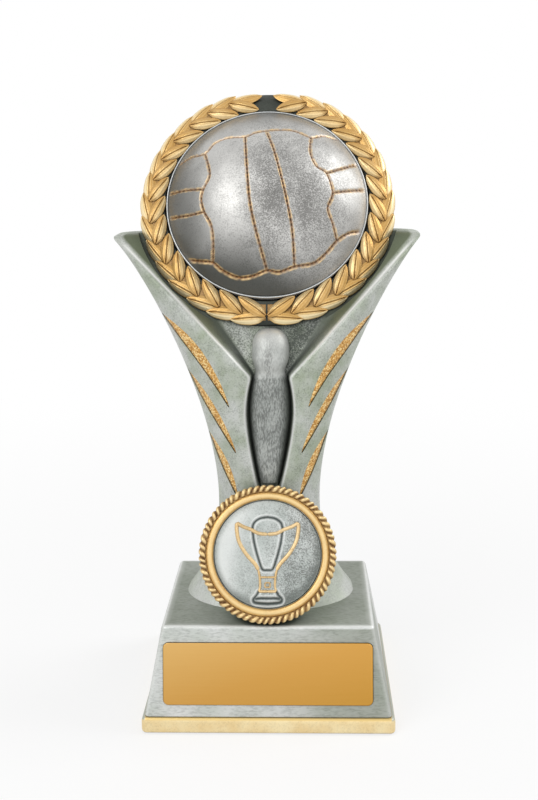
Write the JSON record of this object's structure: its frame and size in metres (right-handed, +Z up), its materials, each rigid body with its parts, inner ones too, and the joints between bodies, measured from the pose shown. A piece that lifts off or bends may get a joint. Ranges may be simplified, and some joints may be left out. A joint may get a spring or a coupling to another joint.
{
  "type": "ball award",
  "caption": "Cast resin award: a ball dome in a laurel wreath, held by a V-armed figure column over a rope-edged medallion, on a pyramid base with a blank plate.",
  "frame": {"origin": "middle of the base, on the surface that the award stands on", "axes": "+Z up, the longest way; +X to the viewer's right, across the nameplate; -Y out of the front, towards the viewer"},
  "size_m": [0.075, 0.0588, 0.1479],
  "materials": {
    "antique_resin": "cast resin with a brushed antique silver paint, worn bright on its edges",
    "figure_resin": "cast resin with a darker brushed silver paint",
    "dark_resin": "cast resin with dark grey wash",
    "gilding": "satin gold paint",
    "laurel_gilding": "satin gold paint with brown in the hollows",
    "glitter_gilding": "coarse gold glitter in clear lacquer",
    "emblem_gilding": "thin gold line paint",
    "plate_metal": "gold anodised, satin, blank",
    "antique_silver": "antique silver with dark patina and brown seams",
    "zinc_steel": "zinc plated",
    "insert_brass": "machined",
    "foam": "thin adhesive foam",
    "felt": "dark felt"
  },
  "bodies": {
    "root": {"felt_pad": "felt", "foot_band": "gilding", "base_block": "antique_resin", "nameplate_tape": "foam", "nameplate": "plate_metal", "column_stud": "zinc_steel", "stud_washer": "zinc_steel", "stud_nut": "zinc_steel", "threaded_insert": "insert_brass", "column": "antique_resin", "slash_inlays_left": "glitter_gilding", "slash_inlays_right": "glitter_gilding", "centre_figure": "figure_resin", "medallion_holder": "antique_resin", "rope_bezel": "gilding", "disc_pad": "foam", "centre_disc": "antique_silver", "cup_relief": "emblem_gilding", "ring_dowels": "zinc_steel", "wreath_ring": "dark_resin", "laurel_left": "laurel_gilding", "laurel_right": "laurel_gilding", "dome_pad": "foam", "ball_dome": "antique_silver"}
  },
  "joints": []
}
